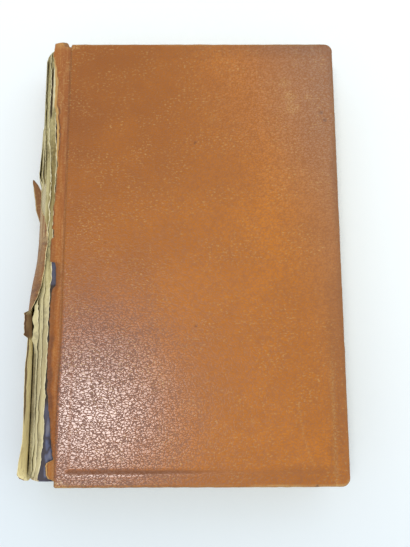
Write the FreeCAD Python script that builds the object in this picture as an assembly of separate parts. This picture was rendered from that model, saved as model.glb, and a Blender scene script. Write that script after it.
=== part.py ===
import FreeCAD, Part
import math
import os

from FreeCAD import Vector

# A leather-covered hardback book lying on its back cover, in millimetres.
# X runs from the spine to the fore-edge, Y from the tail to the head, Z upwards.
# The origin is the centre of the back cover's outer face.

# Covers
COVER_HEIGHT = 240.0      # head to tail, over the leather
COVER_WIDTH = 147.0       # joint groove to fore-edge, over the leather
CORNER_RADIUS = 4.3       # worn round corners at the fore-edge
EDGE_ROUND = 0.7          # roundness of the leather along a board's edges
BOARD = 2.5               # thickness of the cover board
LEATHER = 0.8             # thickness of the covering leather
TURN_IN = 0.4             # pared leather that is folded over to the inside
TURN_IN_WIDTH = 15.0
PASTEDOWN = 0.3           # endpaper pasted to the inside of a cover
LEATHER_MARGIN = 3.5      # turned-in leather left bare around the pastedown

# Joint between a cover and the spine
JOINT_WIDTH = 9.8         # groove to the shoulder's outer edge
GROOVE_DEPTH = 1.6        # how far the joint dips below the cover's face
BOARD_EDGE = 1.2          # from the groove to the board's own edge
HEAD_CAP_REACH = 1.9      # the torn joint leather stands out past the head
HEAD_CAP_ROLL = 2.8       # thickness of the rolled leather at its end
HEAD_CAP_LENGTH = 3.4

# Pages
PAGES_THICKNESS = 26.8
SQUARE = 3.0              # how far a cover stands out past the pages
FLYLEAF = 0.3
CLEARANCE = 0.3           # free space between the pages and each cover
COVER_SLIP = 6.0          # the old book leans, front cover towards the fore-edge
FORE_EDGE_HOLLOW = 4.0
SECTIONS = 16             # folded gatherings that show at the spine
SECTION_SWELL = 0.25      # roundness of each fold

# Shoulders and rounded spine
SHOULDER_RISE = 2.2       # crest of the shoulder above the page surface
RIDGE_DROP = 1.0          # the ridge lies lower than the crest
RIDGE_INSET = 1.0         # the ridge lies inside the joint leather's outer edge
SHOULDER_FOOT = 1.0       # the shoulder starts this far towards the pages from the groove
FOOT_ROUND = 3.0          # inside radius where the pages start to rise
CREST_ROUND = 6.0         # radius over the top of the shoulder
GROOVE_ROUND = 1.0        # radius at the bottom of the leather's groove
GROOVE_REACH = 0.8        # the leather goes down this far over before the groove's bottom
CREST_PLACE = 0.55        # share of the joint's width from the groove to the leather's crest
SHOULDER_PLACE = 0.5      # and to the crest of the pages' shoulder
CREST_GAP = 0.35          # free space between the leather and the shoulder
LEATHER_DROP = 1.45       # the leather falls from crest to ridge by this times RIDGE_DROP
SPINE_ROUND = 4.4         # bulge of the spine beyond a line from ridge to ridge
TAPES = 4
TAPE_WIDTH = 12.0
TAPE = 0.3
MULL = 0.25
LINING = 0.6
SPINE_LEATHER = 0.9
GLUE_LINE = 0.05          # between the layers of the spine
MULL_INSET = 8.0          # the mull stops this far from the head and tail of the pages

# How far the layers reach round the spine, from 0 at the front ridge to 1 at the back
TAPE_REACH = (0.08, 0.96)
MULL_REACH = (0.09, 0.955)
LINING_REACH = (0.08, 0.95)
LEATHER_ROOT = 0.94

# Joint leather's torn edge, head to tail:
# (share of the joint's width that is left, share of half the cover's height)
TORN_JOINT = [
    (1.00, 0.94), (0.90, 0.86), (0.86, 0.72), (0.66, 0.60), (0.54, 0.40),
    (0.62, 0.26), (0.70, 0.10), (0.74, -0.04), (0.44, -0.05), (0.40, -0.15),
    (0.60, -0.18), (0.65, -0.28), (0.60, -0.37), (0.68, -0.46), (0.55, -0.64),
    (0.37, -0.74), (0.24, -0.86), (0.50, -0.90), (0.50, -0.94), (0.36, -0.962),
    (0.06, -0.966),
]

# Head cap beside the board's corner, then round to the torn edge:
# (share of the joint's width from the groove, share of HEAD_CAP_REACH past the head)
HEAD_CAP = [
    (0.02, 0.0), (0.04, -1.15), (0.12, -1.25), (0.17, 0.5), (0.32, 1.0), (0.75, 1.0),
    (0.95, 0.6), (1.0, -0.3),
]
FOOT_NICK = 1.2           # joint leather ends this far inside the board at the tail

# Spine leather's sections, tail to head:
# (share of half the height, share of the spine's arc still covered,
#  how much flatter than the spine it has sprung)
SPINE_STATIONS = [
    (-0.985, 0.50, 1.0), (-0.955, 0.62, 3.2), (-0.90, 0.67, 3.4), (-0.858, 0.66, 2.6),
    (-0.83, 0.63, 1.0), (-0.667, 0.62, 1.0), (-0.517, 0.64, 1.25), (-0.40, 0.64, 0.8),
    (-0.371, 0.66, 0.85), (-0.355, 0.72, 2.6), (-0.262, 0.76, 2.1), (-0.242, 0.76, 0.5),
    (-0.17, 0.88, 0.1), (-0.05, 0.95, 0.0), (0.07, 0.965, 0.0), (0.13, 0.91, 0.0),
    (0.19, 0.72, 0.0), (0.258, 0.52, 0.0), (0.983, 0.47, 0.0),
]
STEPS_BETWEEN_STATIONS = 3

# Lining's torn front edge, tail to head:
# (share of half the height, share of the spine's arc left bare beside the front ridge)
LINING_EDGE = [
    (-0.97, 0.15), (-0.86, 0.11), (-0.70, 0.10), (-0.55, 0.13), (-0.40, 0.09),
    (-0.20, 0.12), (0.0, 0.10), (0.22, 0.15), (0.40, 0.11), (0.62, 0.12), (0.97, 0.14),
]

# Peeled tongue of spine leather, seen from above:
# (share of its reach out from the spine's crown, share of half the height)
PEELED_TONGUE = [
    (-0.26, 0.14), (0.26, 0.16), (0.65, 0.26), (1.0, 0.385), (0.7, 0.375), (0.26, 0.33),
    (-0.26, 0.25),
]
TONGUE_REACH = 4.6
TONGUE_TILT = 16.0        # degrees that the tongue droops away from the spine

# Heights and places that follow from the sizes above
COVER_THICKNESS = PASTEDOWN + TURN_IN + BOARD + LEATHER
HALF_HEIGHT = COVER_HEIGHT / 2
PAGES_HALF_HEIGHT = HALF_HEIGHT - SQUARE
PAGES_BOTTOM = COVER_THICKNESS + CLEARANCE + FLYLEAF
PAGES_TOP = PAGES_BOTTOM + PAGES_THICKNESS
FRONT_INNER_FACE = PAGES_TOP + FLYLEAF + CLEARANCE
BOOK_THICKNESS = FRONT_INNER_FACE + COVER_THICKNESS
BACK_GROOVE = -COVER_WIDTH / 2
FRONT_GROOVE = BACK_GROOVE + COVER_SLIP


LONGEST_ROUND = 0.48      # share of a straight run that one rounded corner may use
LEAST_RADIUS = 0.05
THICKEST_ROUND = 0.8      # share of the leather's thickness that its edges may round
SAME = 1e-6               # lengths closer than this are equal


def on_section(x, z):
    """A point of a cross-section, which is drawn at y = 0."""
    return Vector(x, 0, z)


def line(start, end):
    return Part.LineSegment(start, end).toShape()


def arc(start, middle, end):
    return Part.Arc(start, middle, end).toShape()


def rounded_path(points, radii):
    """Straight runs joined by tangent arcs, one radius for each inner corner."""
    edges, start = [], points[0]
    for before, corner, after, radius in zip(points, points[1:], points[2:], radii):
        back, ahead = before - corner, after - corner
        half = back.getAngle(ahead) / 2
        longest = LONGEST_ROUND * min(back.Length, ahead.Length)
        reach = min(max(radius, LEAST_RADIUS) / math.tan(half), longest)
        bisector = (back.normalize() + ahead.normalize()).normalize()
        first, last = corner + back * reach, corner + ahead * reach
        depth = reach * math.tan(half) * (1 / math.sin(half) - 1)
        edges += [line(start, first), arc(first, corner + bisector * depth, last)]
        start = last
    return edges + [line(start, points[-1])]


def face_of(edges):
    return Part.Face(Part.Wire(edges))


def along_y(face, low, high):
    """Extrudes a cross-section that was drawn at y = 0 from low to high."""
    moved = face.copy()
    moved.translate(Vector(0, low, 0))
    return moved.extrude(Vector(0, high - low, 0))


def plan_prism(points, low, high):
    """Upright prism over a plan outline given as (x, y) pairs."""
    corners = [Vector(x, y, low) for x, y in points]
    outline = Part.makePolygon(corners + corners[:1])
    return Part.Face(outline).extrude(Vector(0, 0, high - low))


def slab(x_low, x_high, half_height, z_low, z_high, radius=0.0):
    """Flat panel with round corners on its fore-edge side."""
    block = Part.makeBox(
        x_high - x_low, 2 * half_height, z_high - z_low, Vector(x_low, -half_height, z_low)
    )
    if radius <= 0:
        return block
    corners = [
        edge for edge in block.Edges
        if all(abs(v.X - x_high) < SAME for v in edge.Vertexes)
        and abs(edge.Vertexes[0].Z - edge.Vertexes[1].Z) > SAME
    ]
    return block.makeFillet(radius, corners)


def offset_path(points, radii, distance):
    """The same path and radii moved sideways, to the left of the direction of travel."""
    normals = []
    for start, end in zip(points, points[1:]):
        along = (end - start).normalize()
        normals.append(Vector(-along.z, 0, along.x))
    moved = [points[0] + normals[0] * distance]
    moved_radii = []
    for corner, radius, before, after in zip(points[1:], radii, normals, normals[1:]):
        moved.append(corner + (before + after) * (distance / (1 + before.dot(after))))
        turns_left = before.x * after.z - before.z * after.x > 0
        moved_radii.append(radius - distance if turns_left else radius + distance)
    return moved + [points[-1] + normals[-1] * distance], moved_radii


# Cover, drawn once with its inner face at z = 0 and its groove at x = 0

def joint_surface():
    """Outer path of the joint leather: over the board's edge, down and along the joint."""
    groove = COVER_THICKNESS - GROOVE_DEPTH
    crest = SHOULDER_RISE + LEATHER + CREST_GAP
    path = [
        on_section(BOARD_EDGE, COVER_THICKNESS),
        on_section(0, COVER_THICKNESS),
        on_section(-GROOVE_REACH, groove),
        on_section(-CREST_PLACE * JOINT_WIDTH, crest),
        on_section(-JOINT_WIDTH, crest - LEATHER_DROP * RIDGE_DROP),
    ]
    return path, [EDGE_ROUND, GROOVE_ROUND, CREST_ROUND]


def joint_profile():
    """Cross-section of the leather that dips from the board and lies over the joint."""
    outer, radii = joint_surface()
    inner, inner_radii = offset_path(outer, radii, LEATHER)
    return face_of(
        rounded_path(outer, radii)
        + [line(outer[-1], inner[-1])]
        + rounded_path(inner[::-1], inner_radii[::-1])
        + [line(inner[0], outer[0])]
    )


def head_cap_profile():
    """Cross-section of the leather rolled over at the joint's head, flat underneath."""
    path, radii = offset_path(*joint_surface(), LEATHER / 2)
    path, radii = path[2:], radii[2:]
    low = path[1].z - HEAD_CAP_ROLL
    first, last = on_section(path[0].x, low), on_section(path[-1].x, low)
    return face_of(
        rounded_path(path, radii) + [line(path[-1], last), line(last, first), line(first, path[0])]
    )


def torn_outline():
    """Plan outline of the front joint leather, with its torn edge and head cap."""
    head, tail = HALF_HEIGHT, -HALF_HEIGHT
    board_side = [(BOARD_EDGE, tail), (BOARD_EDGE, head), (0.2, head)]
    head_cap = [
        (-share * JOINT_WIDTH, head + reach * HEAD_CAP_REACH) for share, reach in HEAD_CAP
    ]
    torn = [(-share * JOINT_WIDTH, up * HALF_HEIGHT) for share, up in TORN_JOINT]
    foot = [(-GROOVE_REACH, tail + FOOT_NICK), (0.4, tail)]
    return board_side + head_cap + torn + foot


def square_outline():
    """Plan outline of the back joint leather, which is whole."""
    head, tail = HALF_HEIGHT, -HALF_HEIGHT
    cap, foot = head - FOOT_NICK, tail + FOOT_NICK
    return [
        (BOARD_EDGE, tail), (BOARD_EDGE, head), (0.2, head), (-GROOVE_REACH, cap),
        (-JOINT_WIDTH, cap), (-JOINT_WIDTH, foot), (-GROOVE_REACH, foot), (0.2, tail),
    ]


def cover_leather(outline, has_head_cap):
    """Leather over the board, turned in on three sides, with the joint leather."""
    skin = slab(BOARD_EDGE, COVER_WIDTH, HALF_HEIGHT, PASTEDOWN, COVER_THICKNESS, CORNER_RADIUS)
    rim = [
        edge for edge in skin.Edges
        if max(v.X for v in edge.Vertexes) > BOARD_EDGE + SAME
        and abs(edge.Vertexes[0].Z - edge.Vertexes[1].Z) < SAME
        and edge.Vertexes[0].Z > COVER_THICKNESS - SAME
    ]
    skin = skin.makeFillet(min(EDGE_ROUND, THICKEST_ROUND * LEATHER), rim)
    pocket = slab(
        0, COVER_WIDTH - LEATHER, HALF_HEIGHT - LEATHER,
        PASTEDOWN + TURN_IN, COVER_THICKNESS - LEATHER, CORNER_RADIUS - LEATHER,
    )
    window = slab(
        0, COVER_WIDTH - TURN_IN_WIDTH, HALF_HEIGHT - TURN_IN_WIDTH, 0, PASTEDOWN + TURN_IN
    )
    skin = skin.cut(pocket).cut(window)
    prism = plan_prism(outline, -COVER_THICKNESS, 2 * COVER_THICKNESS)
    reach = HALF_HEIGHT + HEAD_CAP_REACH
    joint = along_y(joint_profile(), -reach, reach)
    if has_head_cap:
        joint = joint.fuse(along_y(head_cap_profile(), reach - HEAD_CAP_LENGTH, reach))
    return skin.fuse(joint.common(prism)).removeSplitter()


def cover_board():
    return slab(
        BOARD_EDGE, COVER_WIDTH - LEATHER, HALF_HEIGHT - LEATHER,
        PASTEDOWN + TURN_IN, COVER_THICKNESS - LEATHER, CORNER_RADIUS - LEATHER,
    )


def cover_pastedown():
    """Endpaper on the board's inside, level with the turned-in leather and over it."""
    sheet = slab(
        BOARD_EDGE, COVER_WIDTH - LEATHER_MARGIN, HALF_HEIGHT - LEATHER_MARGIN, 0, PASTEDOWN
    )
    infill = slab(
        BOARD_EDGE, COVER_WIDTH - TURN_IN_WIDTH, HALF_HEIGHT - TURN_IN_WIDTH,
        PASTEDOWN, PASTEDOWN + TURN_IN,
    )
    return sheet.fuse(infill).removeSplitter()


def as_front(shape):
    placed = shape.copy()
    placed.translate(Vector(FRONT_GROOVE, 0, FRONT_INNER_FACE))
    return placed


def as_back(shape):
    placed = shape.mirror(Vector(0, 0, 0), Vector(0, 0, 1))
    placed.translate(Vector(BACK_GROOVE, 0, COVER_THICKNESS))
    return placed


# Pages and the rounded spine

def page_surface(lift):
    """Path over the pages beside a cover, from the fore-edge up to the shoulder's ridge,
    as (distance from the groove, height over the pages), and its radii."""
    path = [
        (COVER_WIDTH - SQUARE, lift),
        (SHOULDER_FOOT, lift),
        (-SHOULDER_PLACE * JOINT_WIDTH, SHOULDER_RISE + lift),
        (RIDGE_INSET - JOINT_WIDTH, SHOULDER_RISE - RIDGE_DROP + lift),
    ]
    return path, [FOOT_ROUND, CREST_ROUND]


def front_surface(lift=0.0):
    path, radii = page_surface(lift)
    return [on_section(FRONT_GROOVE + x, PAGES_TOP + z) for x, z in path], radii


def back_surface(lift=0.0):
    path, radii = page_surface(lift)
    return [on_section(BACK_GROOVE + x, PAGES_BOTTOM - z) for x, z in path], radii


def spine_circle():
    """Centre, radius and the two ridge angles of the rounded spine."""
    front, back = front_surface()[0][-1], back_surface()[0][-1]
    chord = front - back
    half = chord.Length / 2
    radius = (half ** 2 + SPINE_ROUND ** 2) / (2 * SPINE_ROUND)
    inward = Vector(chord.z, 0, -chord.x).normalize()
    centre = (front + back) * 0.5 + inward * (radius - SPINE_ROUND)
    front_angle = math.atan2(front.z - centre.z, front.x - centre.x)
    back_angle = math.atan2(back.z - centre.z, back.x - centre.x) + 2 * math.pi
    return centre, radius, front_angle, back_angle


CENTRE, SPINE_RADIUS, FRONT_ANGLE, BACK_ANGLE = spine_circle()
TAPE_RADIUS = SPINE_RADIUS + SECTION_SWELL + GLUE_LINE
MULL_RADIUS = TAPE_RADIUS + TAPE + GLUE_LINE
LINING_RADIUS = MULL_RADIUS + MULL + GLUE_LINE
SPINE_LEATHER_RADIUS = LINING_RADIUS + LINING + GLUE_LINE


def spine_point(radius, share):
    """Point over the spine, from 0 at the front ridge to 1 at the back ridge."""
    angle = FRONT_ANGLE + share * (BACK_ANGLE - FRONT_ANGLE)
    return CENTRE + Vector(math.cos(angle), 0, math.sin(angle)) * radius


def spine_band(inner, outer, start, end):
    """Cross-section of a layer that lies round the spine."""
    middle = (start + end) / 2
    a = [spine_point(inner, s) for s in (start, middle, end)]
    b = [spine_point(outer, s) for s in (end, middle, start)]
    return face_of([arc(*a), line(a[-1], b[0]), arc(*b), line(b[-1], a[0])])


def section_folds():
    """Backs of the folded gatherings, one small arc each, front ridge to back ridge."""
    folds = []
    for i in range(SECTIONS):
        start, end = i / SECTIONS, (i + 1) / SECTIONS
        crown = spine_point(SPINE_RADIUS + SECTION_SWELL, (start + end) / 2)
        folds.append(arc(spine_point(SPINE_RADIUS, start), crown, spine_point(SPINE_RADIUS, end)))
    return folds


def text_block():
    """All the pages as one solid: rounded spine, shoulders and hollow fore-edge."""
    front, radii = front_surface()
    back, _ = back_surface()
    hollow = (front[0] + back[0]) * 0.5 - Vector(FORE_EDGE_HOLLOW, 0, 0)
    edges = rounded_path(front, radii) + section_folds()
    edges += rounded_path(back[::-1], radii[::-1]) + [arc(back[0], hollow, front[0])]
    return along_y(face_of(edges), -PAGES_HALF_HEIGHT, PAGES_HALF_HEIGHT)


def flyleaf(surface):
    """Free endpaper on one side of the pages, folded up over the shoulder."""
    inner, radii = surface()
    outer, _ = surface(FLYLEAF)
    face = face_of(
        rounded_path(inner, radii)
        + [line(inner[-1], outer[-1])]
        + rounded_path(outer[::-1], radii[::-1])
        + [line(outer[0], inner[0])]
    )
    return along_y(face, -PAGES_HALF_HEIGHT, PAGES_HALF_HEIGHT)


def sewing_tape(index):
    """Linen tape across the spine that the gatherings are sewn to."""
    pitch = 2 * PAGES_HALF_HEIGHT / TAPES
    middle = -PAGES_HALF_HEIGHT + (index + 0.5) * pitch
    band = spine_band(TAPE_RADIUS, TAPE_RADIUS + TAPE, *TAPE_REACH)
    return along_y(band, middle - TAPE_WIDTH / 2, middle + TAPE_WIDTH / 2)


def spine_mull():
    """Open-weave cloth glued over the tapes."""
    band = spine_band(MULL_RADIUS, MULL_RADIUS + MULL, *MULL_REACH)
    end = PAGES_HALF_HEIGHT - MULL_INSET
    return along_y(band, -end, end)


def spine_lining():
    """Paper lining over the mull, torn along the front ridge."""
    outer = LINING_RADIUS + LINING
    band = spine_band(LINING_RADIUS, outer, *LINING_REACH)
    high, low = LINING_EDGE[-1][0] * HALF_HEIGHT, LINING_EDGE[0][0] * HALF_HEIGHT
    torn = [(spine_point(outer, bare).x, up * HALF_HEIGHT) for up, bare in LINING_EDGE]
    far_left = CENTRE.x - 2 * outer
    outline = [(far_left, low)] + torn + [(far_left, high)]
    upper = plan_prism(outline, CENTRE.z, BOOK_THICKNESS)
    lower = slab(far_left, CENTRE.x, HALF_HEIGHT, 0, CENTRE.z)
    return along_y(band, low, high).common(upper.fuse(lower)).removeSplitter()


def spine_leather_wire(up, cover, spring):
    """Closed section of the spine leather, rising from the back joint as one arc."""
    root = spine_point(SPINE_LEATHER_RADIUS, LEATHER_ROOT)
    outward = (root - CENTRE).normalize()
    own_radius = SPINE_LEATHER_RADIUS * (1 + spring)
    own_centre = root - outward * own_radius
    length = cover * LEATHER_ROOT * (BACK_ANGLE - FRONT_ANGLE) * SPINE_LEATHER_RADIUS
    first = math.atan2(outward.z, outward.x)
    turn = -length / own_radius
    y = up * HALF_HEIGHT

    def at(radius, share):
        angle = first + share * turn
        point = own_centre + Vector(math.cos(angle), 0, math.sin(angle)) * radius
        return Vector(point.x, y, point.z)

    far = own_radius + SPINE_LEATHER
    inner = arc(at(own_radius, 0), at(own_radius, 0.5), at(own_radius, 1))
    outer = arc(at(far, 1), at(far, 0.5), at(far, 0))
    return Part.Wire([
        inner, line(at(own_radius, 1), at(far, 1)), outer, line(at(far, 0), at(own_radius, 0)),
    ])


def peeled_tongue():
    """Loose tongue of leather that has lifted off the crown of the spine."""
    crown = CENTRE.x - SPINE_LEATHER_RADIUS - SPINE_LEATHER
    outline = [(crown - out * TONGUE_REACH, up * HALF_HEIGHT) for out, up in PEELED_TONGUE]
    tongue = plan_prism(outline, CENTRE.z, CENTRE.z + SPINE_LEATHER)
    tongue.rotate(Vector(crown, 0, CENTRE.z), Vector(0, 1, 0), -TONGUE_TILT)
    return tongue


def spine_leather_sections():
    """The chosen stations and evenly spaced ones between them."""
    wires = []
    for here, there in zip(SPINE_STATIONS, SPINE_STATIONS[1:]):
        for step in range(STEPS_BETWEEN_STATIONS):
            share = step / STEPS_BETWEEN_STATIONS
            station = [a + share * (b - a) for a, b in zip(here, there)]
            wires.append(spine_leather_wire(*station))
    return wires + [spine_leather_wire(*SPINE_STATIONS[-1])]


def spine_leather():
    """Torn spine leather: on the spine near the middle, sprung outwards at the tail."""
    shell = Part.makeLoft(spine_leather_sections(), True, True)
    inside = along_y(
        spine_band(SPINE_RADIUS / 2, SPINE_LEATHER_RADIUS, 0.0, 1.0), -HALF_HEIGHT, HALF_HEIGHT
    )
    return shell.fuse(peeled_tongue().cut(inside)).removeSplitter()


def parts():
    nodes = {
        "back_cover_leather": as_back(cover_leather(square_outline(), False)),
        "back_board": as_back(cover_board()),
        "back_pastedown": as_back(cover_pastedown()),
        "back_flyleaf": flyleaf(back_surface),
        "text_block": text_block(),
        "front_flyleaf": flyleaf(front_surface),
        "front_pastedown": as_front(cover_pastedown()),
        "front_board": as_front(cover_board()),
        "front_cover_leather": as_front(cover_leather(torn_outline(), True)),
        "spine_mull": spine_mull(),
        "spine_lining": spine_lining(),
        "spine_leather": spine_leather(),
    }
    for i in range(TAPES):
        nodes[f"sewing_tape_{i + 1}"] = sewing_tape(i)
    return nodes


os.makedirs("parts", exist_ok=True)
for name, shape in parts().items():
    print(name, "solids", len(shape.Solids), "valid", shape.isValid(), "volume", round(shape.Volume))
    shape.Solids[0].exportStep(f"parts/{name}.step")
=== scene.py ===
# Looks of a worn leather-covered hardback book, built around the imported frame.
# Shapes are worked out in millimetres, in the frame's own axes: X from the spine to the fore-edge,
# Y from the tail to the head, Z upwards. They become metres where a mesh is made.
import functools
import math

import bpy
import numpy as np
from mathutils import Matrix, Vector


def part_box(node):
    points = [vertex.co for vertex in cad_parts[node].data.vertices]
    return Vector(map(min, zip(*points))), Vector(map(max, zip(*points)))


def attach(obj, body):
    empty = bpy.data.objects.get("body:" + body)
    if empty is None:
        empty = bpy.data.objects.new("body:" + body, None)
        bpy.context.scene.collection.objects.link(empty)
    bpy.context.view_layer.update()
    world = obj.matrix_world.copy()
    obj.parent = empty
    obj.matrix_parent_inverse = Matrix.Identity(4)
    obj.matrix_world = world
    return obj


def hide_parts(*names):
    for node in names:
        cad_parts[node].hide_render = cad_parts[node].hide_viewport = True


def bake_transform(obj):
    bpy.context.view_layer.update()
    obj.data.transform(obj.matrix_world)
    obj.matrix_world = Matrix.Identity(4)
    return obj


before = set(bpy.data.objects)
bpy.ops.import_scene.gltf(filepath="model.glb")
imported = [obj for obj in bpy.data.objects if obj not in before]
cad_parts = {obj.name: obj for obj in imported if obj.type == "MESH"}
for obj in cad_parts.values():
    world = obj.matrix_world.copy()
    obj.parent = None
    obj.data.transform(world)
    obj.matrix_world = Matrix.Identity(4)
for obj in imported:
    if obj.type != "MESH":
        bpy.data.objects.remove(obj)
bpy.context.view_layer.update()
MM = 0.001


def box(node):
    """Lowest and highest corner of a CAD node in millimetres."""
    low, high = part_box(node)
    return np.array(low) / MM, np.array(high) / MM


# Places read from the frame
FRONT_BOARD = box("front_board")
BACK_BOARD = box("back_board")
FRONT_LEATHER = box("front_cover_leather")
FRONT_PAPER = box("front_pastedown")
FRONT_LEAF = box("front_flyleaf")
SKIN = FRONT_LEATHER[1][2] - FRONT_BOARD[1][2]  # thickness of the covering leather
BOARD_GAP = 1.2  # from the joint's groove to the board
FRONT_GROOVE = FRONT_BOARD[0][0] - BOARD_GAP
BACK_GROOVE = BACK_BOARD[0][0] - BOARD_GAP
COVER_WIDTH = FRONT_LEATHER[1][0] - FRONT_GROOVE
COVER_HALF = FRONT_BOARD[1][1] + SKIN
COVER_DEPTH = FRONT_LEATHER[1][2] - FRONT_PAPER[0][2]
FRONT_FACE = FRONT_LEATHER[1][2]
JOINT_WIDTH = FRONT_GROOVE - FRONT_LEATHER[0][0]
RIDGE_X = FRONT_LEAF[0][0]  # outer edge of the front shoulder


# Repeatable noise

# Large odd numbers that scatter the bits of a grid place and a seed
HASH_X, HASH_Y, HASH_SEED, HASH_MIX = 374761393, 668265263, 974634777, 1274126177
ALL_BITS, LOW_BITS = 0xFFFFFFFF, 0xFFFF
ROUGH_GAIN = 1.4  # summed octaves seldom reach their limits


def hashed(i, j, seed):
    """Values from 0 to 1 that belong to whole-number places of a grid."""
    n = (i * HASH_X + j * HASH_Y + seed * HASH_SEED) & ALL_BITS
    n = ((n ^ (n >> 13)) * HASH_MIX) & ALL_BITS
    return ((n ^ (n >> 16)) & LOW_BITS) / LOW_BITS


def noise(x, y, size, seed):
    """Smooth noise from -1 to 1 with features about size millimetres across."""
    x, y = np.broadcast_arrays(np.asarray(x, float) / size, np.asarray(y, float) / size)
    i, j = np.floor(x).astype(np.int64), np.floor(y).astype(np.int64)
    u, v = x - i, y - j
    u, v = u * u * (3 - 2 * u), v * v * (3 - 2 * v)
    low = hashed(i, j, seed) * (1 - u) + hashed(i + 1, j, seed) * u
    high = hashed(i, j + 1, seed) * (1 - u) + hashed(i + 1, j + 1, seed) * u
    return 2 * (low * (1 - v) + high * v) - 1


def rough(x, y, size, seed, octaves=4):
    """Noise with finer and finer detail, about -1 to 1."""
    total = sum(noise(x, y, size / 2 ** k, seed + k) / 2 ** k for k in range(octaves))
    return total / (2 - 2 ** (1 - octaves)) * ROUGH_GAIN


def most(*values):
    """The largest of the values at each place."""
    return functools.reduce(np.maximum, values)


def ramp(low, high, value):
    """0 below low, 1 above high, an even S curve between."""
    t = np.clip((value - low) / (high - low), 0, 1)
    return t * t * (3 - 2 * t)


def read(pairs, places, value=1, place=0):
    """Reads a list of given pairs at the places."""
    table = np.array(sorted(pairs, key=lambda pair: pair[place]))
    return np.interp(places, table[:, place], table[:, value])


def eased(values, places, softness):
    """Running mean of values, weighted by a bell curve over the places beside each."""
    kernel = np.exp(-0.5 * (places / softness) ** 2)
    padded = np.pad(values, len(places) // 2, mode="edge")
    return np.convolve(padded, kernel / kernel.sum(), mode="valid")


def rounded(share, fullness=0.98):
    """Quarter-circle fall from 0 to nearly 1."""
    return 1 - np.sqrt(1 - fullness * share ** 2)


# Mesh making

SHARP_ANGLE = 50  # degrees; a sharper bend keeps its edge


def grid_faces(index):
    """Four-sided faces of a grid of point numbers."""
    a, b, c, d = index[:-1, :-1], index[:-1, 1:], index[1:, 1:], index[1:, :-1]
    return np.stack([a, b, c, d], -1).reshape(-1, 4).tolist()


def rim_of(index):
    """Point numbers once round the outline of a grid."""
    return np.concatenate([index[0, :-1], index[:-1, -1], index[-1, :0:-1], index[:0:-1, 0]])


def add(name, data):
    """New object in the scene that holds the data."""
    made = bpy.data.objects.new(name, data)
    bpy.context.scene.collection.objects.link(made)
    return made


def make_object(name, points, faces, attributes):
    """Mesh object from points in millimetres, shaded smooth apart from its sharp edges."""
    mesh = bpy.data.meshes.new(name)
    mesh.from_pydata((np.asarray(points) * MM).tolist(), [], faces)
    for key, values in attributes.items():
        layer = mesh.attributes.new(key, "FLOAT", "POINT")
        layer.data.foreach_set("value", np.asarray(values, np.float32).ravel())
    mesh.shade_smooth()
    mesh.set_sharp_from_angle(angle=math.radians(SHARP_ANGLE))
    return add(name, mesh)


def thick_sheet(name, top, under, attributes, flip=False):
    """Closed sheet between two grids of points, each rows x columns x 3. An attribute is one
    value for both faces or a pair for top and underside."""
    rows, columns = top.shape[:2]
    count = rows * columns
    index = np.arange(count).reshape(rows, columns)
    faces = grid_faces(index) + [face[::-1] for face in grid_faces(index + count)]
    rim = rim_of(index)
    following = np.roll(rim, -1)
    faces += np.stack([rim, rim + count, following + count, following], -1).tolist()
    if flip:
        faces = [face[::-1] for face in faces]
    points = np.concatenate([top.reshape(-1, 3), under.reshape(-1, 3)])
    both = {}
    for key, values in attributes.items():
        values = values if isinstance(values, tuple) else (values, values)
        both[key] = np.concatenate([np.broadcast_to(v, (rows, columns)).ravel() for v in values])
    return make_object(name, points, faces, both)


# Materials

def srgb(red, green, blue):
    """Scene colour of a display colour given from 0 to 255."""
    def linear(value):
        value /= 255
        return value / 12.92 if value <= 0.04045 else ((value + 0.055) / 1.055) ** 2.4
    return linear(red), linear(green), linear(blue), 1.0


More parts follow.
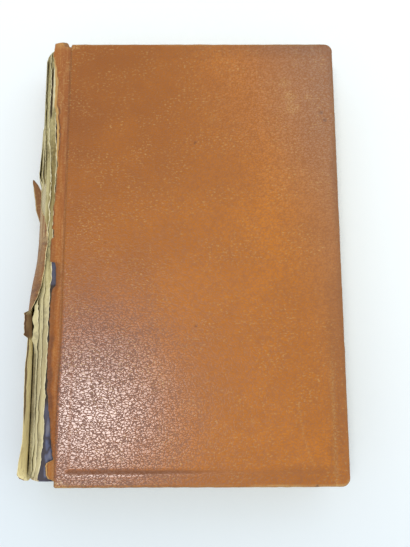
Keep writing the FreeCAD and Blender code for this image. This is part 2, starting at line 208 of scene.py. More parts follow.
class Shader:
    """Node material in short form. Lengths in its textures are millimetres."""

    def __init__(self, name, colour):
        self.colour = colour
        self.relief = {}
        self.material = bpy.data.materials.new(name)
        self.material.use_nodes = True
        self.tree = self.material.node_tree
        self.tree.nodes.clear()
        place = self.node("TexCoord").outputs["Object"]
        self.place = self.node("VectorMath", {0: place, "Scale": 1 / MM}, operation="SCALE").outputs[0]

    def node(self, kind, inputs=None, **settings):
        made = self.tree.nodes.new("ShaderNode" + kind)
        for key, value in settings.items():
            setattr(made, key, value)
        for key, value in (inputs or {}).items():
            if isinstance(value, bpy.types.NodeSocket):
                self.tree.links.new(value, made.inputs[key])
            else:
                made.inputs[key].default_value = value
        return made

    def math(self, operation, a, b, clamp=False):
        return self.node("Math", {0: a, 1: b}, operation=operation, use_clamp=clamp).outputs[0]

    def times(self, a, b, clamp=False):
        return self.math("MULTIPLY", a, b, clamp)

    def plus(self, a, b, clamp=False):
        return self.math("ADD", a, b, clamp)

    def most(self, a, b, clamp=False):
        return self.math("MAXIMUM", a, b, clamp)

    def mix(self, factor, a, b):
        """Colour a, or b where the factor is 1."""
        return self.node("Mix", {0: factor, 6: a, 7: b}, data_type="RGBA").outputs[2]

    def ramp(self, value, low, high, start=0, end=1):
        """From start at low to end at high, along an S curve."""
        inputs = {"Value": value, "From Min": low, "From Max": high, "To Min": start, "To Max": end}
        return self.node("MapRange", inputs, interpolation_type="SMOOTHSTEP").outputs[0]

    def stretched(self, x, y, z):
        """Texture places measured in features of x, y and z millimetres."""
        scale = (1 / x, 1 / y, 1 / z)
        return self.node("VectorMath", {0: self.place, 1: scale}, operation="MULTIPLY").outputs[0]

    def noise(self, size, detail=3, roughness=0.55, place=None):
        """Noise from 0 to 1 with features about size millimetres across."""
        inputs = {"Vector": place or self.place, "Scale": 1 / size, "Detail": detail}
        return self.node("TexNoise", {**inputs, "Roughness": roughness}).outputs["Fac"]

    def attribute(self, name):
        return self.node("Attribute", attribute_name=name).outputs["Fac"]

    def tint(self, factor, colour):
        """Turns the colour so far to another one where the factor is 1."""
        self.colour = self.mix(factor, self.colour, colour)

    def bump(self, height, depth):
        """Adds the relief of a height from 0 to 1 that stands for depth millimetres."""
        inputs = {"Height": height, "Distance": depth * MM, "Strength": 1, **self.relief}
        self.relief = {"Normal": self.node("Bump", inputs).outputs["Normal"]}

    def surface(self, roughness, **sockets):
        """The finished material; sockets are named with _ in place of a space."""
        inputs = {"Base Color": self.colour, "Roughness": roughness, **self.relief}
        inputs.update({key.replace("_", " "): value for key, value in sockets.items()})
        shader = self.node("BsdfPrincipled", inputs)
        self.node("OutputMaterial", {"Surface": shader.outputs[0]})
        return self.material


PEBBLE = (1.95, 1.2, 1.7)  # size of one pebble of the grain
PEBBLE_DEPTH = 0.031
GRIT_DEPTH = 0.005
DIRT_AND_SHADE = srgb(82, 46, 28)
GREYER_CORNER = srgb(134, 112, 94)
# colours of the painted shade round the lamp's highlight on the front cover
GLARE_SHADE_PEBBLE = srgb(150, 90, 66)
GLARE_SHADE_CREASE = srgb(76, 40, 30)


def leather(name, base, deep, rubbed, flesh, smoothest, streaks=0):
    """Pebbled leather that is rubbed pale on its edges and flecked all over. One attribute
    marks painted shade round the lamp's highlight: darker pebbles and darker creases between
    the glints. smoothest is the roughness of the bare pebbles."""
    s = Shader(name, base)
    wander = s.node("TexNoise", {"Vector": s.place, "Scale": 0.4, "Detail": 2}).outputs["Color"]
    moved = s.node("VectorMath", {0: wander, "Scale": 2.2}, operation="SCALE").outputs[0]
    cells = s.node("VectorMath", {0: s.stretched(*PEBBLE), 1: moved}, operation="ADD").outputs[0]
    voronoi = s.node("TexVoronoi", {"Vector": cells, "Scale": 1}, feature="DISTANCE_TO_EDGE")
    from_crease = voronoi.outputs["Distance"]
    crease = s.ramp(from_crease, 0.03, 0.17, 1, 0)
    tooled, glare_shade = s.attribute("tooled"), s.attribute("glare_shade")
    whole = s.math("SUBTRACT", 1, s.times(tooled, 0.75))
    crease_here = s.times(crease, whole)

    split = s.node("SeparateXYZ", {0: s.place})
    across, along = split.outputs["X"], split.outputs["Y"]
    patches = s.ramp(s.noise(60, 4), 0.35, 0.65, -0.1, 0.28)
    cloud = s.plus(s.ramp(across, -80, 48, 0.7, 0), patches)
    cloud = s.plus(cloud, s.ramp(along, -110, 30, 0.05, 0.1))
    s.tint(s.most(cloud, 0, clamp=True), deep)
    # greyer and darker towards the corner of the head and the fore-edge
    corner = s.plus(across, s.times(along, 0.2))
    s.tint(s.ramp(corner, 44, 100, 0, 0.62), GREYER_CORNER)
    s.tint(s.ramp(s.noise(3.2, 4, 0.6), 0.35, 0.7, 0, 0.25), deep)
    streak = s.noise(1, 4, 0.6, s.stretched(1.3, 16, 2.5))
    s.tint(s.ramp(streak, 0.4, 0.62, 0, streaks), deep)
    s.tint(s.ramp(streak, 0.56, 0.38, 0, 0.5 * streaks), rubbed)
    # painted shade round the lamp's highlight: darker pebbles here, darker creases two lines down
    s.tint(s.times(glare_shade, 0.4), GLARE_SHADE_PEBBLE)
    # painted shade in the grain's creases
    s.tint(s.times(crease_here, 0.55), deep)
    s.tint(s.times(crease_here, s.times(glare_shade, 0.72)), GLARE_SHADE_CREASE)
    grit = s.noise(0.9, 4, 0.7)
    fleck = s.ramp(s.noise(1, 2, 0.5, s.stretched(1.5, 0.9, 1.2)), 0.56, 0.7, 0, 0.42)
    s.tint(s.times(fleck, s.ramp(s.noise(14, 3), 0.38, 0.62)), rubbed)
    worn = s.times(s.attribute("wear"), s.ramp(grit, 0.25, 0.6, 0.35, 1), clamp=True)
    s.tint(worn, rubbed)
    s.tint(s.times(s.attribute("pale"), s.ramp(grit, 0.45, 0.6), clamp=True), rubbed)
    s.tint(s.times(tooled, 0.7), deep)
    fibres = s.noise(1, 4, 0.65, s.stretched(0.7, 9, 0.9))
    s.tint(s.attribute("flesh"), s.mix(s.ramp(fibres, 0.45, 0.68, 0, 0.35), flesh, deep))
    # the dark attribute: grime and dark spots, with painted shade in grooves, on rounded rims and edges,
    # and on the peeled tongue
    s.tint(s.attribute("dark"), DIRT_AND_SHADE)

    dull = s.most(s.most(worn, s.attribute("flesh")), s.times(tooled, 0.7))
    roughness = s.plus(s.times(crease, 0.22), smoothest)
    roughness = s.plus(roughness, s.times(dull, 0.4), clamp=True)
    steep = s.ramp(from_crease, 0, 0.14, 0, 0.5)
    relief = s.plus(steep, s.ramp(from_crease, -0.08, 0.26, 0, 0.4))
    relief = s.plus(relief, s.times(s.noise(1.8, 2, 0.5), 0.35))
    s.bump(s.times(relief, whole), PEBBLE_DEPTH)
    s.bump(grit, GRIT_DEPTH)
    return s.surface(roughness)


STREAK = (6, 60, 6)  # size of one streak on the lining
# colour of grime and of painted shadow on the papers
GRIME_AND_SHADE = srgb(60, 46, 27)
TORN_FIBRES = srgb(226, 214, 176)


def paper(name, light, dark):
    """Old paper, stained in streaks that run along the spine."""
    s = Shader(name, light)
    streak = s.noise(1, 4, 0.6, s.stretched(*STREAK))
    s.tint(s.ramp(streak, 0.35, 0.68), dark)
    s.tint(s.ramp(s.noise(7, 5, 0.65), 0.55, 0.75, 0, 0.45), dark)
    # the attribute darkens the paper with grime and with painted shadow in the gaps and under the
    # leather
    soil = s.attribute("soil")
    patchy = s.times(soil, s.ramp(s.noise(1.6, 3), 0.3, 0.6), clamp=True)
    s.tint(s.most(patchy, s.ramp(soil, 0.6, 0.9)), GRIME_AND_SHADE)
    s.tint(s.attribute("torn"), TORN_FIBRES)
    s.bump(s.noise(0.35, 4, 0.7), 0.05)
    s.bump(streak, 0.25)
    return s.surface(0.85, Specular_IOR_Level=0.3)


LEAF_LINE = (90, 90, 0.22)  # size of one fine line on the pages' edges
DUST_BAND = (70, 70, 1.7)


def page_edges(name):
    """Cut edges of the leaves: fine lines that lie level, with dusty bands."""
    s = Shader(name, srgb(222, 206, 166))
    lines = s.noise(1, 3, 0.65, s.stretched(*LEAF_LINE))
    bands = s.noise(1, 3, 0.6, s.stretched(*DUST_BAND))
    s.tint(s.ramp(lines, 0.38, 0.62), srgb(170, 148, 104))
    s.tint(s.ramp(bands, 0.45, 0.7, 0, 0.5), srgb(150, 126, 84))
    s.tint(s.ramp(s.noise(16, 4, 0.6), 0.52, 0.75, 0, 0.35), srgb(128, 100, 62))
    s.bump(lines, 0.12)
    s.bump(s.noise(0.5, 3), 0.05)
    return s.surface(0.8, Specular_IOR_Level=0.3)


def endpaper(name):
    """Blue-grey endpaper, faded and a little creased."""
    s = Shader(name, srgb(84, 90, 118))
    s.tint(s.ramp(s.noise(22, 5, 0.6), 0.35, 0.7), srgb(97, 95, 110))
    s.tint(s.ramp(s.noise(0.7, 4, 0.7), 0.4, 0.75, 0, 0.4), srgb(66, 66, 92))
    # on the hinge paper these two are a painted highlight on the crumples' crests and painted shadow in
    # its hollows and gaps
    s.tint(s.attribute("torn"), srgb(176, 168, 150))
    s.tint(s.attribute("soil"), srgb(54, 42, 34))
    s.bump(s.noise(0.4, 4, 0.7), 0.03)
    s.bump(s.noise(5, 3, 0.5), 0.25)
    return s.surface(0.75)


def card(name):
    """Grey-brown board."""
    s = Shader(name, srgb(150, 132, 102))
    s.tint(s.noise(0.8, 4, 0.7), srgb(112, 96, 72))
    s.bump(s.noise(0.4, 4), 0.05)
    return s.surface(0.9)


WAVE_SCALE = 0.314  # a wave texture of this scale repeats once per unit


def cloth(name, light, dark, pitch):
    """Plain weave: two sets of threads that cross."""
    s = Shader(name, dark)
    waves = {"Vector": s.place, "Scale": WAVE_SCALE / pitch, "Distortion": 1}
    weave = s.most(*(s.node("TexWave", waves, bands_direction=d).outputs["Fac"] for d in "YZ"))
    s.tint(weave, light)
    s.tint(s.ramp(s.noise(9, 4), 0.45, 0.7, 0, 0.5), dark)
    s.bump(weave, 0.12)
    return s.surface(0.9, Specular_IOR_Level=0.2)


TAN = srgb(204, 164, 98)
COVER = leather(
    "cover leather", srgb(191, 113, 6), srgb(142, 78, 6), TAN, srgb(196, 150, 92), smoothest=0.18)
JOINT_HIDE = leather(
    "joint leather", srgb(212, 128, 22), srgb(150, 84, 20), TAN, srgb(192, 152, 90),
    smoothest=0.42, streaks=0.45)
# the spine leather's flesh colour is lighter than the other hides': painted light for the curled lip,
# which the lamps barely reach
SPINE_HIDE = leather(
    "spine leather", srgb(186, 132, 72), srgb(128, 84, 44), srgb(206, 172, 112),
    srgb(250, 234, 174), smoothest=0.5, streaks=0.4)
LINING = paper("lining paper", srgb(202, 190, 138), srgb(134, 116, 66))
ENDPAPER = endpaper("endpaper")
LEAVES = page_edges("page edges")
CARD = card("board")
MULL = cloth("mull", srgb(206, 194, 158), srgb(140, 122, 84), pitch=0.9)
TAPE = cloth("tape", srgb(200, 184, 142), srgb(150, 130, 92), pitch=0.5)

for material, nodes in (
    (COVER, "back_cover_leather front_cover_leather"), (SPINE_HIDE, "spine_leather"),
    (ENDPAPER, "back_pastedown front_pastedown back_flyleaf front_flyleaf"),
    (CARD, "back_board front_board"), (LEAVES, "text_block"), (LINING, "spine_lining"),
    (TAPE, "sewing_tape_1 sewing_tape_2 sewing_tape_3 sewing_tape_4"), (MULL, "spine_mull"),
):
    for node in nodes.split():
        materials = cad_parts[node].data.materials
        materials.clear()
        materials.append(material)


def dress(made, material):
    """Gives a piece its material."""
    made.data.materials.append(material)
    return made


# Covers

EDGE_ROUND = 0.8  # roundness of the leather over the board's edge
CORNER = 4.3  # worn round corners at the fore-edge
TURN_IN_WIDTH = 15.0
TURN_IN = 0.4
PASTEDOWN = 0.3
UNDERSIDE = COVER_DEPTH - PASTEDOWN  # depth of the turned-in leather below the face


def cover_plan(s, t, left, side):
    """Plan places for shares s across and t along, inset from the cover's outline.
    Corners are round: a square's grid is drawn in towards its inscribed quarter disc."""
    x = left + s * (COVER_WIDTH - left - side)
    y = (2 * t - 1) * (COVER_HALF - side)
    for sign, edge, corner in ((1, COVER_WIDTH - side, CORNER), (-1, left, 0.9)):
        radius = max(corner - side, 0.15)
        a = sign * (x - edge) + radius
        b = np.abs(y) - (COVER_HALF - side - radius)
        inside = (a > 0) & (b > 0)
        pull = np.where(inside, most(a, b) / most(np.hypot(a, b), 1e-9) - 1, 0)
        x, y = x + sign * a * pull, y + np.sign(y) * b * pull
    return x, y


FILLET_INSET = 7.7  # blind-tooled line, from the cover's edges
FILLET_WIDTH = 0.9
TAIL_BAND = 1.7  # the line at the tail is a wide one
JOINT_LINE = 6.4  # from the groove
FORE_EDGE_LINE = COVER_WIDTH - FILLET_INSET + 0.6
FORE_EDGE_MARK, JOINT_MARK, HEAD_MARK = 0.35, 0.25, 0.2  # strength beside the tail's line


def tooled_lines(x, y):
    """How strongly the blind tooling marks each place, 0 to 1."""
    def line(distance, width):
        return 1 - ramp(0.35 * width, 0.65 * width, np.abs(distance))
    inside_y = ramp(-1, 0.5, COVER_HALF - FILLET_INSET + 1 - np.abs(y))
    inside_x = ramp(-1, 0.5, COVER_WIDTH - FILLET_INSET + 1 - x) * ramp(4.5, 6, x)
    fore_edge = line(x - FORE_EDGE_LINE, FILLET_WIDTH) * inside_y
    fore_edge = FORE_EDGE_MARK * fore_edge * ramp(20, -75, y)
    joint = line(x - JOINT_LINE, FILLET_WIDTH) * inside_y
    tail = line(y + COVER_HALF - FILLET_INSET, TAIL_BAND) * inside_x * (1 - 0.65 * ramp(55, 95, x))
    head = line(y - COVER_HALF + FILLET_INSET, FILLET_WIDTH) * inside_x
    return np.clip(fore_edge + JOINT_MARK * joint + tail + HEAD_MARK * head, 0, 1)


# How far the leather is rubbed along the tail edge: x from the groove and strength
TAIL_WEAR = [(0, 0.75), (6, 0.7), (12, 0.4), (60, 0.3), (95, 0.25), (104, 0.85), (147, 0.9)]
SIDE_WEAR = 0.12
HEAD_WEAR = 0.4
HANDLED = 0.28  # darkening of the head and fore-edge by handling
# painted shade on the leather's rounded edges, which lean away from the light
RIM_SHADE = 0.3
GLARE_SHADE_SPOT = (18.0, -84.0, 70.0)  # middle, from the groove, and reach of the painted shade round the lamp's highlight
FACE_WARP, FACE_DENTS = 0.16, 0.02
TOOLED_DEPTH = 0.12
LOWER_ROUND, LOWER_BEVEL = 0.4, 0.12  # round edge at the underside, and its middle
NIBBLED, NIBBLE_MEAN = 0.12, 0.08  # the worn outline's unevenness and mean loss
FRONT_SEED, BACK_SEED = 11, 47


def edge_wear(x, y):
    """Strength of the rubbing at the cover's edges: most at the tail."""
    tail = read(TAIL_WEAR, x) * (1 - ramp(-COVER_HALF + 2.0, -COVER_HALF + 5.0, y))
    head = HEAD_WEAR * ramp(COVER_HALF - 1.6, COVER_HALF - 0.4, y)
    return most(tail, head, SIDE_WEAR)


# Scuffs and spots on the front cover: x and y in the frame, radius, strength
PALE_MARKS = [
    (54.8, 87.5, 4.2, 0.4), (55.8, 81, 4, 0.4), (52, 96, 3.4, 0.3), (64.3, 87.8, 1.6, 0.45),
    (31, -88, 1.5, 0.2), (12, 75, 3, 0.2), (-66.5, -118.6, 3.4, 0.7),
    (-62.5, -119.6, 2.6, 0.7), (-67.6, 118.4, 3.2, 0.9), (-64.4, 119.6, 2.8, 0.8),
]
DARK_MARKS = [
    (71.8, 78.6, 1.2, 0.45), (73.6, 73.8, 1.1, 0.5), (2.1, 60.8, 0.9, 0.6), (2.5, -39.6, 0.9, 0.55),
    (62.5, -119.4, 1, 0.9), (-45.6, 5, 0.8, 0.35),
]
SCRATCH = [(54, -77), (55.4, -84.9), (56.4, -95), (59.5, -104.5), (62, -110)]


def marks(x, y):
    """Pale and dark marks at each place of the front cover, x counted from its groove."""
    x = x + FRONT_GROOVE
    pale, dark = np.zeros(len(x)), np.zeros(len(x))
    for target, spots in ((pale, PALE_MARKS), (dark, DARK_MARKS)):
        for spot_x, spot_y, radius, strength in spots:
            reach = np.hypot(x - spot_x, y - spot_y) + 0.4 * radius * noise(x, y, 1.4, 71)
            target[:] = most(target, strength * (1 - ramp(0.4 * radius, 1.2 * radius, reach)))
    beside = (y < SCRATCH[0][1]) & (y > SCRATCH[-1][1])
    from_scratch = np.abs(x - read(SCRATCH, y, 0, 1))
    pale = most(pale, 0.35 * ((1 - ramp(0.1, 0.75, from_scratch)) * beside))
    from_line = np.abs(x - FRONT_GROOVE - FORE_EDGE_LINE)
    return most(pale, 0.6 * (1 - ramp(0.4, 1.2, from_line)) * ramp(-45, -70, y)), dark


def cover_dirt(x, y, from_rim, tooled, seed):
    """Darkening inside the border, in the tooled lines and where hands have held the cover."""
    from_border = from_rim + 2 * rough(x, y, 30, seed + 40)
    border = 1 - ramp(FILLET_INSET - 1, FILLET_INSET + 3, from_border)
    dark = 0.45 * tooled ** 2 * (1 - ramp(50, 90, x)) + 0.16 * border * ramp(20, -60, y)
    from_head = COVER_HALF - y + 2 * rough(x, y, 24, seed + 41)
    from_fore_edge = COVER_WIDTH - x + 1.2 * rough(x, y, 24, seed + 42)
    dark += HANDLED * (1 - ramp(0, 12, from_head)) * ramp(20, 110, x)
    return most(dark, HANDLED * (1 - ramp(0.5, 4.5, from_fore_edge)) * ramp(-110, -60, y))


def edge_profile():
    """Rings round the board's edge: inset at the joint, inset at the other sides, and depth."""
    profile = []
    for turn in np.radians((22.5, 45, 67.5, 90)):
        inset = EDGE_ROUND * (1 - math.sin(turn))
        profile.append((inset, inset, EDGE_ROUND * (1 - math.cos(turn))))
    return profile + [
        (0, 0, 0.5 * UNDERSIDE), (0, 0, UNDERSIDE - LOWER_ROUND),
        (LOWER_BEVEL, LOWER_BEVEL, UNDERSIDE - LOWER_BEVEL),
        (LOWER_ROUND, LOWER_ROUND, UNDERSIDE),
        (0.95 * BOARD_GAP, TURN_IN_WIDTH, UNDERSIDE),
        (0.95 * BOARD_GAP, TURN_IN_WIDTH, UNDERSIDE - TURN_IN),
    ]


def cover_skin(name, place, spacing, seed):
    """Leather wrapped round a board: a relief face, round edges and turned-in margins.
    place turns (x from the groove, y, depth below the face) into the frame."""
    columns = round(COVER_WIDTH / spacing) + 1
    rows = round(2 * COVER_HALF / spacing) + 1
    s, t = np.meshgrid(np.linspace(0, 1, columns), np.linspace(0, 1, rows))
    x, y = cover_plan(s, t, EDGE_ROUND, EDGE_ROUND)
    from_rim = np.minimum(COVER_WIDTH - x, COVER_HALF - np.abs(y))
    tooled = tooled_lines(x, y)
    warp = FACE_WARP * rough(x, y, 70, seed, 3) + FACE_DENTS * rough(x, y, 9, seed + 9, 3)
    depth = -warp * ramp(0, 12, np.minimum(from_rim, x)) + TOOLED_DEPTH * tooled
    rub = 1 - ramp(0.2, 1.5, from_rim - 0.7 * rough(x, y, 9, seed + 20))
    points = [np.stack([x, y, depth], -1).reshape(-1, 3)]
    dark = cover_dirt(x, y, from_rim, tooled, seed)
    wears, tools, darks = [(rub * edge_wear(x, y)).ravel()], [tooled.ravel()], [dark.ravel()]

    index = np.arange(rows * columns).reshape(rows, columns)
    rim = rim_of(index)
    rim_s, rim_t = s.ravel()[rim], t.ravel()[rim]
    faces, count, previous = grid_faces(index), rows * columns, rim
    for left, side, down in edge_profile():
        ring_x, ring_y = cover_plan(rim_s, rim_t, left, side)
        if side < EDGE_ROUND:
            nibble = NIBBLED * rough(ring_x * 3, ring_y * 3, 12, seed + 30) + NIBBLE_MEAN
            ring_x = np.where(ring_x > COVER_WIDTH - 2, ring_x - nibble, ring_x)
            worn_y = ring_y - np.sign(ring_y) * nibble
            ring_y = np.where(np.abs(ring_y) > COVER_HALF - 2, worn_y, ring_y)
        points.append(np.stack([ring_x, ring_y, np.full(ring_x.shape, down)], -1))
        fresh = np.arange(count, count + len(rim))
        outer = down <= UNDERSIDE and side < 1
        uneven = 0.9 + 0.4 * rough(ring_x, ring_y, 6, seed + 31)
        wears.append(outer * edge_wear(ring_x, ring_y) * uneven)
        tools.append(np.zeros(len(rim)))
        # painted shade on the outer rings of the rounded edge
        darks.append(np.full(len(rim), RIM_SHADE * outer))
        faces += np.stack([previous, fresh, np.roll(fresh, -1), np.roll(previous, -1)], -1).tolist()
        previous, count = fresh, count + len(rim)
    faces.append(previous.tolist())
    points = np.concatenate(points)
    flat = points[:, 0], points[:, 1]
    attributes = {"wear": np.clip(np.concatenate(wears), 0, 1), "tooled": np.concatenate(tools)}
    attributes["dark"] = np.concatenate(darks)
    if seed == FRONT_SEED:
        attributes["pale"], spots = marks(*flat)
        # painted shade round the lamp's highlight, on the front cover only
        glare_x, glare_y, glare_reach = GLARE_SHADE_SPOT
        reach = np.hypot(flat[0] - glare_x, 0.8 * (flat[1] - glare_y)) + 5 * rough(*flat, 22, 90)
        attributes["glare_shade"] = 1 - ramp(16, glare_reach, reach)
        attributes["dark"] = most(attributes["dark"], spots)
    made = make_object(name, place(points), faces, attributes)
    return dress(made, COVER)


JOINT_SPREAD = 0.8  # the cover's leather reaches further over the joint near the tail


def front_place(points):
    """Places in the frame; back_place does the same for the back cover."""
    x, y, depth = points.T
    spread = JOINT_SPREAD * ramp(-40, -85, y) * ramp(4, 0, x)
    return np.stack([x + FRONT_GROOVE - spread, y, FRONT_FACE - depth], -1)


def back_place(points):
    return np.stack([points[:, 0] + BACK_GROOVE, points[:, 1], points[:, 2]], -1)


front_skin = cover_skin("front_cover_skin", front_place, spacing=0.9, seed=FRONT_SEED)
back_skin = cover_skin("back_cover_skin", back_place, spacing=1.5, seed=BACK_SEED)


# Joints: the leather and paper between a cover and the spine

PATH_STEP = 0.05


def eased_path(corners, softness):
    """Path through (x, z) corners with its bends eased: x values and z values."""
    xs, zs = np.array(sorted(corners)).T
    x = np.arange(xs[0] - 4, xs[-1] + 4, PATH_STEP)
    return x, eased(np.interp(x, xs, zs), np.arange(-60, 61) * PATH_STEP, softness)


# Heights above the inner face of the cover, over x from the groove
LEATHER_PATH = eased_path([(1.2, 2.9), (-0.8, 2.35), (-5.4, 3.42), (-9.8, 1.9)], 0.5)
LEAF_PATH = eased_path([(6.0, -0.3), (1.0, -0.3), (-4.9, 1.95), (-8.8, 0.9)], 0.7)

# Torn edge of the front joint leather, head to tail: x and y in the frame
TORN_EDGE = [
    (-77.2, 118.6), (-77.6, 116), (-77.8, 113), (-76.6, 106.5), (-76.1, 98), (-75.9, 86),
    (-74.3, 74), (-73.4, 57), (-72.8, 48.5), (-73.4, 34), (-74.2, 23), (-74.4, 13),
    (-73.4, 12.2), (-73.3, 8.2), (-74.7, 7.4), (-74.9, 6), (-74.7, -5), (-71.9, -5.6),
    (-71.3, -12), (-71.4, -18), (-73.1, -20.3), (-73.9, -32), (-73.4, -44),
    (-74.2, -51.6), (-74.1, -59.3), (-72.9, -77), (-72.2, -82), (-71.1, -89),
    (-70.5, -97), (-69.8, -104), (-69.2, -106.4), (-72.1, -107.9), (-72.8, -109.3),
    (-72.1, -113.6), (-71, -115.5), (-69, -116.2), (-68, -117.5),
]
CAP_TOP = FRONT_LEATHER[1][1]
CAP_START = 118.7  # above this the leather stands free of the board
CAP_ROLL = 2.6  # thickness of the rolled end
CAP_ROUND = 1.5  # roundness of the roll's end
CAP_CORNER = 2.4  # the outline turns in over this length
BARE_STEP = 0.32  # the leather's grained face ends this far over the bare flesh
# Bare flesh side left beside the torn edge, head to tail: y and width
BARE_LIP = [
    (122, 0.2), (114, 0.3), (108, 0.9), (98, 1.5), (74, 1.5), (58, 1.2), (50, 0.4), (34, 0.3),
    (20, 0.2), (-20, 0.12), (-60, 0.15), (-90, 0.12), (-106, 0.3), (-109, 0.7), (-116, 0.6), (-120, 0.3),
]


def strip(y, left, right, share):
    """x and y of a grid between two outlines; share says where its columns lie."""
    x = left[:, None] + (right - left)[:, None] * share[None, :]
    return x, np.broadcast_to(y[:, None], x.shape)


def over_front(x, y, *heights):
    """Grids of points beside the front groove, at heights over the cover's inner face."""
    return [np.stack([x + FRONT_GROOVE, y, FRONT_PAPER[0][2] + z], -1) for z in heights]


def under_back(x, y, *heights):
    """The same beside the back groove, where the back cover lies face down."""
    return [np.stack([x + BACK_GROOVE, y, COVER_DEPTH - z], -1) for z in heights]


def front_joint_shade_and_grime(x, yy, inset, lip, from_right, cap):
    """Dark places of the torn strip: painted shade in its groove and along the head cap's edges, a dark
    line beside the bare lip, a darker frayed edge and darker stretches.
    """
    # painted shade in the groove, and on the head cap's left edge
    shade_and_grime = 0.35 * np.exp(-((x + 0.7) / 0.3) ** 2) + 0.6 * (1 - ramp(0, 0.5, inset)) * cap
    beside_lip = np.exp(-((inset / lip - 1.15) / 0.3) ** 2) * ramp(0.3, 0.9, lip)
    shade_and_grime = most(shade_and_grime, (0.2 + 0.6 * ramp(86, 80, yy)) * beside_lip)
    frayed = (1 - ramp(0.3, 1.1, inset + 0.4 * rough(x, yy, 3, 108))) * ramp(46, 36, yy)
    shade_and_grime = most(shade_and_grime, 0.55 * frayed * ramp(-108, -104, yy))
    patch = ramp(-42, -50, yy) * ramp(-84, -76, yy)
    patch = patch + 0.6 * ramp(20, -10, yy) * ramp(-98, -80, yy)
    beside = 1 - ramp(1.6, 3.4, inset + 0.7 * rough(x, yy, 4, 107))
    dusky = 0.6 * np.minimum(patch, 1) * beside
    # the last term is painted shade along the head cap's right corner
    return most(shade_and_grime, dusky, 0.5 * cap * ramp(-1.6, -0.4, from_right))


def front_joint_leather():
    """Torn strip of leather that lies over the shoulder, with the rolled head cap."""
    y = np.concatenate([np.arange(-117.5, 120.2, 0.5), np.linspace(120.3, CAP_TOP, 9)])
    left = read(TORN_EDGE, y, 0, 1) - FRONT_GROOVE
    left = left + 0.28 * rough(y, 0, 4.0, 101) + 0.2 * rough(y, 5, 1.6, 102, 2)
    right = np.where(y > CAP_START, -1.6, 0.6)
    corner = np.clip((y - (CAP_TOP - CAP_CORNER)) / CAP_CORNER, 0, 1)
    left = left + 0.5 * rounded(corner)
    right = right - 2.6 * rounded(corner)
    right = np.where(y < -117.0, -0.1, right)
    x, yy = strip(y, left, right, np.linspace(0, 1, 30) ** 1.4)
    inset = x - left[:, None]
    lip = read(BARE_LIP, y) * (1 + 0.3 * rough(y, 9, 3.5, 103, 3))
    lip = most(lip, 0.1)[:, None]
    height = np.interp(x, *LEATHER_PATH)
    height += 0.10 * rough(x * 9, yy, 26, 104, 3) * ramp(0.2, -2.0, x) + 0.05 * rough(x, yy, 3, 105)
    bare = 1 - ramp(0.8, 1.15, inset / lip)
    cap = ramp(CAP_TOP - 4.0, CAP_TOP - 2.6, yy)
    rolled = np.clip((yy - (CAP_TOP - CAP_ROUND)) / CAP_ROUND, 0, 1)
    drop = CAP_ROUND * rounded(rolled, 0.97)
    top = height - BARE_STEP * bare * (1 - cap) - drop
    thickness = 0.3 + 0.5 * ramp(0, 1.2, inset)
    under = np.minimum(height - thickness, top - 0.12)
    under = under * (1 - cap) + (height - CAP_ROLL) * cap
    wear = 0.5 * ramp(CAP_TOP - 6.0, CAP_TOP - 1.0, yy) + 0.3 * ramp(-105, -108, yy)
    strip_shade_and_grime = front_joint_shade_and_grime(x, yy, inset, lip, x - right[:, None] + 1.6, cap)
    pressed_flat = 0.45 * ramp(4.5, 1.5, inset) * ramp(-0.8, -2.5, x)
    attributes = {
        "wear": (wear, 0), "flesh": (bare * (1 - cap), 1.0), "dark": (strip_shade_and_grime, 0),
        "tooled": (pressed_flat + 0.3 * ramp(60, -60, yy), 0.75),
    }
    made = thick_sheet("front_joint_leather", *over_front(x, yy, top, under), attributes)
    return dress(made, JOINT_HIDE)


BACK_JOINT_HALF = 118.8


def back_joint_leather():
    """Whole strip of leather between the back cover and the spine leather."""
    y = np.linspace(-BACK_JOINT_HALF, BACK_JOINT_HALF, 240)
    x, yy = np.meshgrid(np.linspace(-JOINT_WIDTH, 0.6, 26), y)
    height = np.interp(x, *LEATHER_PATH) + 0.06 * rough(x * 6, yy, 26, 204, 3)
    grids = under_back(x, yy, height, height - 0.8 + 0.5 * ramp(118.0, BACK_JOINT_HALF, np.abs(yy)))
    # painted shade in the groove
    dark = 0.3 * np.exp(-((x + 0.9) / 0.45) ** 2)
    attributes = {"dark": (dark, 0), "flesh": (0, 1), "tooled": (0.6, 0.6), "wear": (0.15, 0)}
    made = thick_sheet("back_joint_leather", *grids, attributes, flip=True)
    return dress(made, JOINT_HIDE)


# Torn left edge of the front hinge paper, head to tail: y and x from the groove
HINGE_PAPER_EDGE = [(117, -8.2), (-104, -8.2), (-110, -8.6), (-117, -9.4)]
PAPER_HALF = 116.6
PAPER_RIGHT = 4.0  # the hinge papers run this far past the groove, under the pastedowns
PAPER_LIFT = 0.16
PAPER_THICKNESS = 0.1


